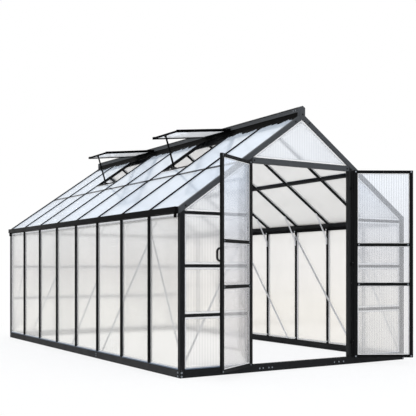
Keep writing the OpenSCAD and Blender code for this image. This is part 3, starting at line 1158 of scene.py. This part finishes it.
@dataclass
class RainGear(Assembly):
    """Gutters with beaded lips, their stops and hollow spouts.

    Attributes:
        bead: Radius of the rolled bead, in metres.
        lip: Distance of the gutter's outer lip from the middle.
        spout_top: Height under which a face that looks down is a spout's mouth.
        end_plate: Width, thickness and height of an end plate.
    """

    bead: float = 0.0034
    lip: float = 1.25
    spout_top: float = 1.27
    end_plate: Point = (0.029, 0.006, 0.048)

    def build(self) -> None:
        """Shape the gutters, bore the spouts, close the ends and roll the beads."""
        self.bar("gutters", GUTTER_BLACK, (), 0.0012, Slot.GUTTER)
        node = "gutter_stops_and_spouts"
        low = self.spout_top
        spouts = dish(
            solid_of(node), lambda f: looks(Z, -1)(f) and f.calc_center_median().z < low,
            (0.0022, -0.034), each=True)
        self.keep(spouts, GUTTER_BLACK, Slot.GUTTER, node, 0.0006, 1)
        plates = [
            dish(block((side * 1.2355, y, 1.322), self.end_plate), looks(Y, way), (0.004, -0.0015))
            for side in SIDES
            for y, way in ((0.0165, -1), (4.2235, 1))
        ]
        piece = join("gutter_end_plates", plates)
        self.keep(piece, GUTTER_BLACK, Slot.GUTTER, rounding=0.0015)
        beads = []
        for side in SIDES:
            at = (side * (self.lip - self.bead), MIDDLE_Y, EAVE - self.bead)
            bead = rod(at, self.bead, 4.196, 12, (QUARTER, 0, 0))
            beads.append(dish(bead, looks_along, (0.001, 0.0008), each=True))
        self.keep(smooth(join("gutter_beads", beads), 40), GUTTER_BLACK, Slot.GUTTER)


@dataclass
class RoofFrame(Assembly):
    """Verges, rafters, purlins and the ridge with its ragged foam seal, which also stands as
    painted shade under the cap.

    Attributes:
        strip_x: Distance of the glazing strips' middle from the middle line.
        strip_run: How far the strips reach across, in metres.
        seal_z: Height of the foam strips' middle.
        seal_reach: How far from the middle line the foam's torn edge lies, out over the sheets as
            painted shade.
        torn: Most that the tear wanders from one point to the next.
        foam: Thickness of the foam.
    """

    strip_x: float = 0.617
    strip_run: float = 1.2
    seal_z: float = 2.199
    seal_reach: float = 0.07
    torn: float = 0.013
    foam: float = 0.004

    def build(self) -> None:
        """Shape the sloping bars and the ridge, then seal it."""
        verge = (
            Channel(Facing.END_OUT, 0.009, 0.0012, 0.03),
            Channel(Facing.END_IN, 0.011, 0.006, 0.03),
        )
        self.bar("front_verge_bars", GABLE_GREY, verge, 0.0022)
        self.bar("back_verge_bars", GABLE_GREY, verge, 0.0022)
        self.bar("ridge_end_caps", GABLE_GREY, (Channel(Facing.END_OUT, 0.006, 0.0),), 0.003)
        self.bar("ridge_beam", FRAME_BLACK, (Channel(Facing.SIDE_OUT, 0.012, 0.003, 0.1),))
        self.ridge_cap()
        self.rafters()
        self.strips()
        self.bar("roof_purlins", FRAME_BLACK, (Channel(Facing.DOWN, 0.006, 0.005, 0.05),))
        self.bar("vent_sills", FRAME_BLACK, (Channel(Facing.UP, 0.005, 0.0012, 0.005),))
        self.seal()
        self.screws()

    def rafters(self) -> None:
        """Shape the rafters, whose flanges lap 2 mm under the sheets on each side."""
        channels = (
            Channel(Facing.UP, 0.005, 0.0012, 0.01),
            Channel(Facing.DOWN, 0.006, 0.008, 0.01),
        )
        for node in ("left_rafters", "right_rafters"):
            piece = solid_of(node)
            for y in POST_LINES[1:-1]:
                widen(piece, Y, y, 0.05, 1.2)
            self.bar(node, FRAME_BLACK, channels, 0.002, piece=piece)

    def strips(self) -> None:
        """Snap a rubber glazing strip over every rafter and the sheet edges beside it."""
        run = self.strip_run / math.cos(PITCH)
        top = roof_height(self.strip_x)
        made = []
        for side in SIDES:
            x, turn = side * self.strip_x, (0, side * PITCH, 0)
            for y in POST_LINES[1:-1]:
                strip = block((x, y, top - 0.005), (run, 0.04, 0.005), turn)
                made.append(dish(strip, Facing.UP.holds, (0.008, 0.0011)))
            made.append(block((x, 4.2145, top - 0.004), (run, 0.025, 0.005), turn))
        self.keep(join("rafter_glazing_strips", made), RUBBER, Slot.FITTINGS, rounding=0.0008)

    def ridge_cap(self) -> None:
        """Shape the ridge's cap: a grey side band under a black lip."""
        band_top = 2.247
        piece = solid_of("ridge_cap")
        press(piece, (Channel(Facing.SIDE_OUT, 0.004, 0.0016, 0.1),))
        round_arrises(piece, 0.002)
        wear(piece, FRAME_BLACK)
        piece.data.materials.append(GABLE_GREY.material())
        for face in piece.data.polygons:
            if abs(face.normal.x) > STRAIGHT and face.center.z < band_top:
                face.material_index = 1
        self.keep(piece, node="ridge_cap")

    def seal(self) -> None:
        """Hang the foam strips under the ridge's cap, torn along their lower edge, which lies on
        the sheets as painted shade of the cap.
        """
        rng = random.Random(7)
        strips = []
        for side in SIDES:
            bpy.ops.mesh.primitive_grid_add(
                x_subdivisions=3, y_subdivisions=420, size=1, rotation=(0, QUARTER, 0),
                location=(side * 0.0225, MIDDLE_Y, self.seal_z))
            strip = new_piece()
            with editing(strip):
                pick_all()
                bpy.ops.transform.resize(
                    value=(1, 4.19, 0.03), center_override=(0, MIDDLE_Y, self.seal_z))
            # The torn part on the sheets is foam and painted shade of the ridge cap together.
            ragged = 0.0
            for vertex in sorted(strip.data.vertices, key=lambda v: v.co.y):
                if vertex.co.z < self.seal_z - 0.013:
                    ragged = 0.8 * ragged + rng.uniform(-self.torn, self.torn)
                    reach = self.seal_reach + ragged
                    vertex.co.x = side * reach
                    vertex.co.z = roof_height(reach) - 0.0055
                elif vertex.co.z < self.seal_z - 0.003:
                    vertex.co.x = side * 0.03
                    vertex.co.z = roof_height(0.03) - 0.001
            strips.append(strip)
        piece = join("ridge_foam_and_painted_shade", strips)
        finish_with(piece, "SOLIDIFY", thickness=self.foam, offset=0.0)
        self.keep(piece, FOAM_AND_SHADE, Slot.FITTINGS)

    def screws(self) -> None:
        """Set the ridge and verge screws."""
        ridge = [((0.0266, y, 2.232), OUT) for y in (0.046, 0.078, 4.162, 4.194)]
        self.fasten("ridge_screws", both_sides(ridge), DULL_ZINC)
        verge: list[Spot] = []
        for y, look in ENDS:
            sunk = y - look[Y] * 0.0012
            verge.append(((0.0, y, 2.19), look))
            sides = [((x, sunk, roof_height(x) - 0.026), look) for x in (0.075, 1.17)]
            verge += both_sides(sides)
        self.fasten("verge_bolts", verge, NYLON, "bolt")


@dataclass
class RoofVents(Assembly):
    """The two open vents on the left slope, with stays, knobs and feet.

    Attributes:
        lines: Y of the vents' middles.
    """

    lines: tuple[float, ...] = tuple(POST_LINES[number] - BAY / 2 for number in (3, 6))

    def build(self) -> None:
        """Shape the vent frames and their stays."""
        top = (Channel(Facing.UP, 0.004, 0.001, 0.004),)
        for node, lip in (("vent_side_bars", 0.0045), ("vent_cross_bars", 0.001)):
            piece = solid_of(node)
            with editing(piece):
                pick_all()
                bpy.ops.transform.shrink_fatten(value=lip, use_even_offset=True)
            self.bar(node, VENT_BLACK, top, 0.002, piece=piece)
        # The stays are pressed channels, wider than the flats that they are cut from.
        stays = solid_of("vent_stays")
        for y in self.lines:
            widen(stays, Y, y, 0.1, 2.4)
        fold = (Channel(Facing.ALONG, 0.0022, 0.003, 0.001),)
        self.bar("vent_stays", RUBBER, fold, 0.0008, Slot.FITTINGS, stays)
        knobs = [self.knob((-0.6185, y, 2.143)) for y in self.lines]
        feet = [self.foot((-0.5195, y, 1.8345)) for y in self.lines]
        self.keep(join("vent_knobs", knobs), NYLON, Slot.FITTINGS)
        self.keep(join("vent_stay_feet", feet), NYLON, Slot.FITTINGS)

    def knob(self, place: Point) -> Piece:
        """Turn the clamping knob at the top of a stay.

        Args:
            place: Its middle.

        Returns:
            The knob.
        """
        piece = rod(place, 0.009, 0.03, 16, (QUARTER, 0, 0))
        dish(piece, looks_along, (0.0025, 0.002), (0.002, -0.0015), each=True)
        round_arrises(piece, 0.0008)
        return piece

    def foot(self, place: Point) -> Piece:
        """Mould the foot that a stay stands in, a saddle on the sill.

        Args:
            place: The middle of its plate.

        Returns:
            The foot.
        """
        height = 0.012
        piece = block(place, (0.024, 0.06, height))
        with editing(piece):
            pick(piece, looks(Z))
            bpy.ops.mesh.inset(thickness=0.006, depth=0.0)
            extrude(0, 0, height)
            bpy.ops.transform.resize(
                value=(0.8, 0.55, 1), center_override=(*place[:2], place[2] + 1.5 * height))
            pick_all()
            bpy.ops.transform.rotate(value=PITCH, orient_axis="Y", center_override=place)
        round_arrises(piece, 0.0012)
        return piece


@dataclass
class Glazing(Assembly):
    """The twin-wall sheets and the white tape round their edges.

    Attributes:
        tape: Width of the tape on a face, in metres.
        line: Width of the grey line inside it.
        proud: How far the tape stands off the sheet.
    """

    tape: float = 0.013
    line: float = 0.003
    proud: float = 0.0006

    def sheets(self, node: str, finish: Finish, slot: Slot, tape: float = 0.0) -> None:
        """Dress the sheets of one node and tape their edges.

        Args:
            node: CAD node of the sheets, which stays shown.
            finish: Sheet finish.
            slot: Material slot of the tape.
            tape: Width of the tape, where it isn't the usual one.
        """
        smallest_sheet = 0.03
        wear(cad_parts[node], finish)
        piece = solid_of(node, "_edge_tape")
        wear(piece, WHITE_TAPE)
        piece.data.materials.append(GREY_LINE.material())
        with editing(piece):
            pick(piece, lambda face: face.calc_area() > smallest_sheet)
            bpy.ops.mesh.inset(thickness=tape or self.tape, depth=0.0, use_individual=True)
            piece.active_material_index = 1
            bpy.ops.object.material_slot_assign()
            bpy.ops.mesh.inset(thickness=self.line, depth=0.0, use_individual=True)
            bpy.ops.mesh.delete(type="FACE")
            pick_all()
            bpy.ops.transform.shrink_fatten(value=self.proud, use_even_offset=True)
        self.keep(piece, None, slot)

    def build(self) -> None:
        """Dress and tape the fixed sheets."""
        for side, finish in (("left", LEFT_SHEET), ("right", RIGHT_SHEET)):
            self.sheets(side + "_wall_panels", finish, Slot.WALL_SHEETS)
            self.sheets(side + "_roof_panels", ROOF_SHEET, Slot.ROOF_SHEETS, 0.008)
        for end in ("front", "back"):
            self.sheets(end + "_wall_panels", GABLE_SHEET, Slot.WALL_SHEETS)
        self.sheets("vent_panels", VENT_SHEET, Slot.ROOF_SHEETS, 0.004)


@dataclass
class Braces(Assembly):
    """The bare metal braces inside the walls and under the rafters.

    Attributes:
        tab: Thickness, width and height of a knee brace's flattened end.
        tab_at: Distance of the tabs from the middle line, and their height.
        knee: Height of the bolts through them.
    """

    tab: Point = (0.003, 0.02, 0.062)
    tab_at: tuple[float, float] = (1.1835, 1.146)
    knee: float = 1.137

    def build(self) -> None:
        """Shape the flats and struts and bolt their ends."""
        self.flat("left_wall_braces", MILL_ALUMINIUM, 0.0075)
        self.flat("right_wall_braces", STRUT_METAL, 0.0045)
        self.flat("end_wall_braces", MILL_ALUMINIUM, 0.0045)
        fold = (Channel(Facing.ALONG, 0.003, 0.004, 0.001),)
        self.bar("knee_braces", STRUT_METAL, fold, 0.0008, Slot.BRACES)
        self.tabs()
        self.bolts()

    def flat(self, node: str, finish: Finish, lip: float) -> None:
        """Widen a node's slanting flats in their own plane, to 19 mm and more.

        Args:
            node: CAD node of the flats.
            finish: Their metal.
            lip: How far each long edge moves out, in metres.
        """
        piece = solid_of(node)
        with editing(piece):
            pick(piece, lambda f: f.calc_area() > 0.001 and 0.2 < abs(f.normal.z) < 0.98)
            bpy.ops.mesh.extrude_region_shrink_fatten(TRANSFORM_OT_shrink_fatten={"value": lip})
        self.keep(piece, finish, Slot.BRACES, node, 0.0006)

    def tabs(self) -> None:
        """Flatten the lower ends of the knee braces against their posts."""
        x, z = self.tab_at
        made = [
            dish(block((side * x, y, z), self.tab), looks(X, -side), (0.003, 0.0005))
            for side, y in POSTS
        ]
        self.keep(join("knee_brace_tabs", made), STRUT_METAL, Slot.BRACES, rounding=0.0008)

    def bolts(self) -> None:
        """Set a bolt at the lower end of every knee brace, and two on each side wall in its front
        bay.
        """
        places = [((1.182, y, self.knee), IN) for y in POST_LINES[1:-1]]
        places += [((1.183, 0.5, self.knee), IN), ((1.183, 0.033, 0.186), IN)]
        self.fasten("brace_bolts", both_sides(places), ZINC, "bolt")


class Side(Enum):
    """Which leaf of the double door."""

    LEFT = -1
    RIGHT = 1


@dataclass
class DoorLeaf(Assembly):
    """One leaf of the double door, built where it stands open.

    Attributes:
        side: Which leaf it is.
        strap: Length, thickness and height of a hinge strap.
        knuckles: Heights of the hinge knuckles.
        grip_x: Distance of the handle from the hinge line.
        grip: Heights of the handle's two ends.
        reach: How far the handle's middle stands from the hinge line's plane.
        bend: Radius of the handle's bends.
    """

    side: Side = Side.LEFT
    strap: Point = (0.0056, 0.007, 0.0318)
    knuckles: Point = (0.2, 0.9, 1.58)
    grip_x: float = 0.533
    grip: tuple[float, float] = (0.919, 1.015)
    reach: float = 0.0415
    bend: float = 0.026

    @property
    def hand(self) -> int:
        """Sign of the way the leaf runs from its hinge in its own frame."""
        return -self.side.value

    @property
    def place(self) -> Matrix:
        """From the leaf's own frame, hinge line at the origin, to the building's."""
        side = self.side.value
        hinge = Matrix.Translation((side * HINGE_X, HINGE_Y, 0))
        return hinge @ Matrix.Rotation(side * LEAF_TURN, 4, "Z")

    def named(self, part: str) -> str:
        """Name one of the leaf's parts."""
        return f"{self.side.name.lower()}_leaf_{part}"

    def shaped(self, part: str, rim: float, rounding: float) -> None:
        """Press the bars of one node in the leaf's own frame and put them back.

        Args:
            part: End of the node's name.
            rim: Width left standing round the channel in each flat face.
            rounding: Width of the rounded arrises.
        """
        node = self.named(part)
        piece = solid_of(node)
        piece.data.transform(self.place.inverted())
        dish(piece, lambda f: looks_along(f) and f.calc_area() > 0.006, (rim, -0.0012), each=True)
        for level in MID_BARS if part == "rails" else ():
            # The middle bars' flanges lap 3 mm over the sheets above and below.
            widen(piece, Z, level, 0.02, 1.27)
        round_arrises(piece, rounding)
        piece.data.transform(self.place)
        self.keep(piece, DOOR_BLACK, node=node)

    def build(self) -> None:
        """Build the leaf's frame, sheets, handle and screws."""
        self.shaped("stiles", 0.008, 0.002)
        self.shaped("rails", 0.006, 0.0018)
        finish = LEFT_LEAF_SHEET if self.side is Side.LEFT else RIGHT_LEAF_SHEET
        glazing = Glazing(self.body, tape=0.005, line=0.002)
        glazing.sheets(self.named("panels"), finish, Slot.WALL_SHEETS)
        self.straps()
        self.handle()
        self.screws()

    def straps(self) -> None:
        """Close the notch beside each knuckle with a strap that stops 1 mm short of it."""
        strap = block((self.hand * 0.0118, 0, 0), self.strap)
        dish(strap, looks_along, (0.0011, -0.0005), each=True)
        spots = [self.place @ Matrix.Translation((0, 0, z)) for z in self.knuckles]
        piece = copies(strap, self.named("hinge_straps"), spots)
        self.keep(piece, DOOR_BLACK, Slot.FITTINGS)
        put_down()
        bpy.data.objects.remove(strap)

    def handle(self) -> None:
        """Bend the bow handle in a quarter turn at each end and stand it on two flanges."""
        node = self.named("handle")
        x, (low, high), bend = self.hand * self.grip_x, self.grip, self.bend
        face, knee = 0.011, self.reach - self.bend
        bpy.ops.mesh.primitive_circle_add(
            vertices=14, radius=0.009, fill_type="NGON", location=(x, -face, low),
            rotation=(QUARTER, 0, 0))
        bow = new_piece()
        with editing(bow):
            pick_all()
            extrude(0, -(knee - face), 0)
            for level, run in (
                (low + bend, (0, 0, high - low - 2 * bend)), (high - bend, (0, knee - face, 0)),
            ):
                bpy.ops.mesh.spin(
                    steps=8, angle=QUARTER, center=(x, -knee, level), axis=(1, 0, 0))
                extrude(*run)
            pick_all()
            bpy.ops.mesh.remove_doubles(threshold=SAME_POINT)
            bpy.ops.mesh.normals_make_consistent(inside=False)
        bow.data.transform(self.place)
        parts = [bow]
        for z in self.grip:
            foot = rod((x, -0.0123, z), 0.0095, 0.003, 20, (QUARTER, 0, 0))
            dish(foot, looks(Y, -1), (0.003, 0.0015))
            foot.data.transform(self.place)
            parts.append(foot)
        self.keep(smooth(join(node + "_shaped", parts), 50), NYLON, Slot.FITTINGS, node)

    def screws(self) -> None:
        """Set the leaf's screws on both faces."""
        for part, levels, across, face in (
            ("screws", MID_BARS, (0.0595, 0.5045), 0.0085),
            ("corner_screws", (0.0715, 1.7285), (0.031, 0.533), 0.0098),
        ):
            spots: list[Spot] = []
            for way in SIDES:
                look = tuple(self.place.to_3x3() @ Vector((0, way, 0)))
                for z in levels:
                    for x in across:
                        at = self.place @ Vector((self.hand * x, way * face, z))
                        spots.append((tuple(at), look))
            self.fasten(self.named(part), spots, DULL_ZINC)


@dataclass
class Hinges(Assembly):
    """The fixed halves of the six hinges, with their screws."""

    def build(self) -> None:
        """Shape the knuckles and set the screws beside them."""
        self.bar("hinge_brackets", DOOR_BLACK, (), 0.0008, Slot.FITTINGS)
        beside = [((0.5685, FRONT + 0.001, z), TO_FRONT) for z in (0.109, 1.679)]
        self.fasten("hinge_post_screws", both_sides(beside), DULL_ZINC)


# ---------------------------------------------------------------- the studio


@dataclass(frozen=True)
class StudioFloor(Finish):
    """White seamless paper: it takes the shadow close by and goes to plain white far off."""

    paper: str = "#fbfbfb"

    def build(self, add: Adder) -> Node:
        """Lay the paper.

        Args:
            add: Adds a node.

        Returns:
            The last shader.
        """
        here = {"Vector": add("TexCoord").outputs["Object"]}
        centred = add("Mapping", {"Location": (0.0, -1.2, 0.0), "Scale": (1.0, 0.72, 1.0)}, here)
        away = add("VectorMath", links={0: centred}, operation="LENGTH").outputs["Value"]
        fade = {"From Min": 1.4, "From Max": 3.4, "To Min": 0.72}
        far = add("MapRange", fade, {"Value": away}, interpolation_type="SMOOTHSTEP")
        # Faint fibre mottling of the paper.
        fibre = add("TexNoise", {"Scale": 40.0, "Detail": 4.0}, here)
        stops = [(0.3, "#f8f8f8"), (0.7, self.paper)]
        tone = add("ValToRGB", links={"Fac": fibre}, stops=stops)
        matt = add("BsdfDiffuse", links={"Color": tone})
        white = add("Emission", {"Color": "#ffffff", "Strength": 1.0})
        share = add("Math", links={0: plainly_seen(add), 1: far}, operation="MULTIPLY")
        return add("MixShader", links={0: share, 1: matt, 2: white})


@dataclass
class Studio:
    """Floor, soft light and camera.

    Attributes:
        camera_at: Where the camera stands.
        heading: Which way it looks, turned from the length of the building.
        lens: Focal length on a 36 mm frame.
        lift: Vertical shift that keeps the uprights upright.
        aim: Where the lamps look.
    """

    camera_at: Point = (-4.2171, -5.2522, 0.8606)
    heading: float = -31.869
    lens: float = 66.838
    lift: float = 0.1451
    aim: Point = (0, 1.6, 0.9)

    def floor(self) -> None:
        """Lay the paper on the ground."""
        bpy.ops.mesh.primitive_plane_add(size=60, location=(0, 2, -0.0005))
        paper = new_piece("studio_floor")
        wear(paper, StudioFloor("white_seamless_paper"))

    def lamp(self, name: str, at: Point, size: float, power: float, colour: str) -> None:
        """Hang a square soft box that looks at the building's middle.

        Args:
            name: Name of the lamp.
            at: Where it hangs.
            size: Side of the square, in metres.
            power: Power in watts.
            colour: Colour of its light.
        """
        data = bpy.data.lights.new(name, "AREA")
        data.shape = "SQUARE"
        data.size = size
        data.energy = power
        data.color = linear(colour)[:3]
        lamp = stand(name, data)
        lamp.location = at
        aim = Vector(self.aim) - Vector(at)
        lamp.rotation_euler = aim.to_track_quat("-Z", "Y").to_euler()

    def surround(self) -> None:
        """Light the room evenly, and let the camera and gloss see plain white."""
        world = bpy.data.worlds.new("soft_white_room")
        bpy.context.scene.world = world
        world.use_nodes = True
        world.node_tree.nodes.clear()
        add = partial(add_node, world.node_tree)
        height = add("SeparateXYZ", links={0: add("TexCoord").outputs["Generated"]}).outputs
        stops = [(0.0, "#fcfaf8"), (0.8, "#ebf0f8")]
        ramp = add("ValToRGB", links={"Fac": height["Z"]}, stops=stops)
        room = add("Background", {"Strength": 1.05}, {"Color": ramp})
        white = add("Background", {"Color": "#ffffff", "Strength": 1.0})
        mixed = add("MixShader", links={0: plainly_seen(add), 1: room, 2: white})
        add("OutputWorld", links={0: mixed})

    def camera(self) -> None:
        """Stand the camera level at the front left corner."""
        data = bpy.data.cameras.new("camera")
        data.lens = self.lens
        data.sensor_width = 36
        data.shift_y = self.lift
        data.clip_end = 200
        camera = stand("camera", data)
        camera.location = self.camera_at
        camera.rotation_euler = (QUARTER, 0, math.radians(self.heading))
        bpy.context.scene.camera = camera

    def build(self) -> None:
        """Set the studio up."""
        self.camera()
        self.floor()
        self.surround()
        self.lamp("key_soft_box", (-6.5, -7.0, 7.5), 5.5, 300, "#fffdf9")
        self.lamp("fill_soft_box", (7.0, -3.0, 5.0), 4.0, 60, "#f4f8ff")
        bpy.context.scene.view_settings.view_transform = "Standard"


def main() -> None:
    """Build everything in order."""
    logging.basicConfig(level=logging.INFO, format="%(message)s")
    put_down()
    box = FastenerBox()
    box.build()
    for part in (
        BaseFrame, WallFrame, RainGear, RoofFrame, RoofVents, Glazing, Braces, Hinges,
    ):
        part("greenhouse", box).build()
    for side in Side:
        DoorLeaf(f"{side.name.lower()}_door", box, side).build()
    box.put_away()
    Studio().build()
    put_down()


if __name__ == "__main__":
    main()
